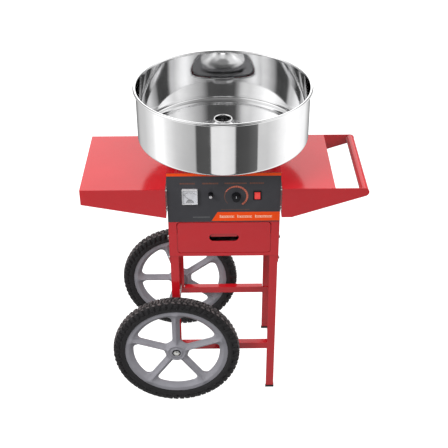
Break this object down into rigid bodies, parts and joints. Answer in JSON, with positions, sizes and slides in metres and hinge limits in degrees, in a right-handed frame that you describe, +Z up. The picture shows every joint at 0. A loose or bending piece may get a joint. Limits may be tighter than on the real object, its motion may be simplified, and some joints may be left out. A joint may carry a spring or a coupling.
{
  "type": "cotton candy machine",
  "caption": "Cotton candy machine on a wheeled serving cart: polished bowl with spinner head, control panel, drawer, side shelves and push handle.",
  "frame": {"origin": "on the floor, below the centre of the whole object (the spinner axis is 2.3 mm to the left of that centre)", "axes": "+X to the operator's right (handle side), +Y to the back, +Z up"},
  "size_m": [0.8365, 0.5198, 1.034],
  "materials": {
    "red_paint": "glossy",
    "galvanised_steel": "satin",
    "panel_film": "satin",
    "zinc_fasteners": "satin",
    "black_rubber": "matte",
    "mirror_steel": "mirror polished",
    "satin_steel": "satin",
    "head_aluminium": "satin",
    "tyre_rubber": "matte",
    "grey_plastic": "satin",
    "bronze": "satin",
    "nylon": "satin",
    "motor_paint": "satin",
    "spindle_steel": "satin",
    "heater_metal": "dull",
    "black_plastic": "glossy",
    "carbon": "matte",
    "white_plastic": "glossy",
    "clear_plastic": "clear",
    "needle_paint": "satin",
    "switch_red": "glossy, lit from inside",
    "fuse_metal": "polished",
    "circuit_board": "satin"
  },
  "bodies": {
    "cart": {"leg_front_left": "red_paint", "leg_front_right": "red_paint", "leg_back_left": "red_paint", "leg_back_right": "red_paint", "brace_front": "red_paint", "brace_back": "red_paint", "side_panel_left": "red_paint", "side_panel_right": "red_paint", "front_frame": "red_paint", "back_panel": "red_paint", "bottom_plate": "red_paint", "top_plate": "red_paint", "left_shelf": "red_paint", "right_shelf": "red_paint", "handle_arm_front": "red_paint", "handle_arm_back": "red_paint", "handle_tube": "red_paint", "bay_divider": "galvanised_steel", "drawer_runners": "galvanised_steel", "motor_mount": "galvanised_steel", "control_panel": "panel_film", "leg_bolts": "zinc_fasteners", "shelf_bolts": "zinc_fasteners", "axle": "zinc_fasteners", "axle_nuts": "zinc_fasteners", "foot_caps": "black_rubber", "bowl_gasket": "black_rubber", "motor_isolators": "black_rubber", "bowl_seat": "satin_steel", "motor_bearings": "bronze", "motor_housing": "motor_paint", "brush_holder": "black_plastic", "switch_bezel": "black_plastic", "fuse_socket": "black_plastic", "cord_gland": "black_plastic", "potentiometer": "black_plastic", "axle_spacers": "black_plastic", "carbon_brushes": "carbon", "voltmeter_case": "white_plastic", "voltmeter_glass": "clear_plastic", "control_board": "circuit_board"},
    "drawer": {"drawer_front": "red_paint", "drawer_tray": "galvanised_steel"},
    "bowl": {"bowl_wall": "mirror_steel", "bowl_base": "mirror_steel"},
    "spinner": {"spindle": "spindle_steel", "spinner_base": "head_aluminium", "heater_ring": "heater_metal", "spinner_cover": "mirror_steel", "slip_rings": "bronze"},
    "wheel_front": {"wheel_rim_front": "grey_plastic", "tyre_front": "tyre_rubber", "wheel_bushes_front": "nylon"},
    "wheel_back": {"wheel_rim_back": "grey_plastic", "tyre_back": "tyre_rubber", "wheel_bushes_back": "nylon"},
    "knob": {"control_knob": "black_plastic"},
    "rocker": {"switch_rocker": "switch_red"},
    "needle": {"meter_needle": "needle_paint"},
    "fuse": {"fuse_carrier": "fuse_metal"}
  },
  "joints": [
    {"name": "wheel_front_spin", "type": "hinge", "parent": "cart", "child": "wheel_front", "pos_m": [-0.153, -0.196, 0.202], "axis": [0, 1, 0], "continuous": true},
    {"name": "wheel_back_spin", "type": "hinge", "parent": "cart", "child": "wheel_back", "pos_m": [-0.153, 0.196, 0.202], "axis": [0, 1, 0], "continuous": true},
    {"name": "spinner_spin", "type": "hinge", "parent": "cart", "child": "spinner", "pos_m": [0, 0, 0.85], "axis": [0, 0, 1], "continuous": true},
    {"name": "drawer_slide", "type": "slide", "parent": "cart", "child": "drawer", "axis": [0, -1, 0], "range_m": [0, 0.2]},
    {"name": "bowl_lift", "type": "slide", "parent": "cart", "child": "bowl", "axis": [0, 0, 1], "range_m": [0, 0.15]},
    {"name": "knob_turn", "type": "hinge", "parent": "cart", "child": "knob", "pos_m": [0.036, -0.165, 0.752], "axis": [0, 1, 0], "range_deg": [-135, 135]},
    {"name": "rocker_tilt", "type": "hinge", "parent": "cart", "child": "rocker", "pos_m": [0.0975, -0.1545, 0.7545], "axis": [1, 0, 0], "range_deg": [0, 10]},
    {"name": "needle_swing", "type": "hinge", "parent": "cart", "child": "needle", "pos_m": [-0.0985, -0.163, 0.742], "axis": [0, 1, 0], "range_deg": [0, 90], "stiffness_Nm_per_rad": 0.0002},
    {"name": "fuse_pull", "type": "slide", "parent": "cart", "child": "fuse", "axis": [0, -1, 0], "range_m": [0, 0.03]}
  ]
}
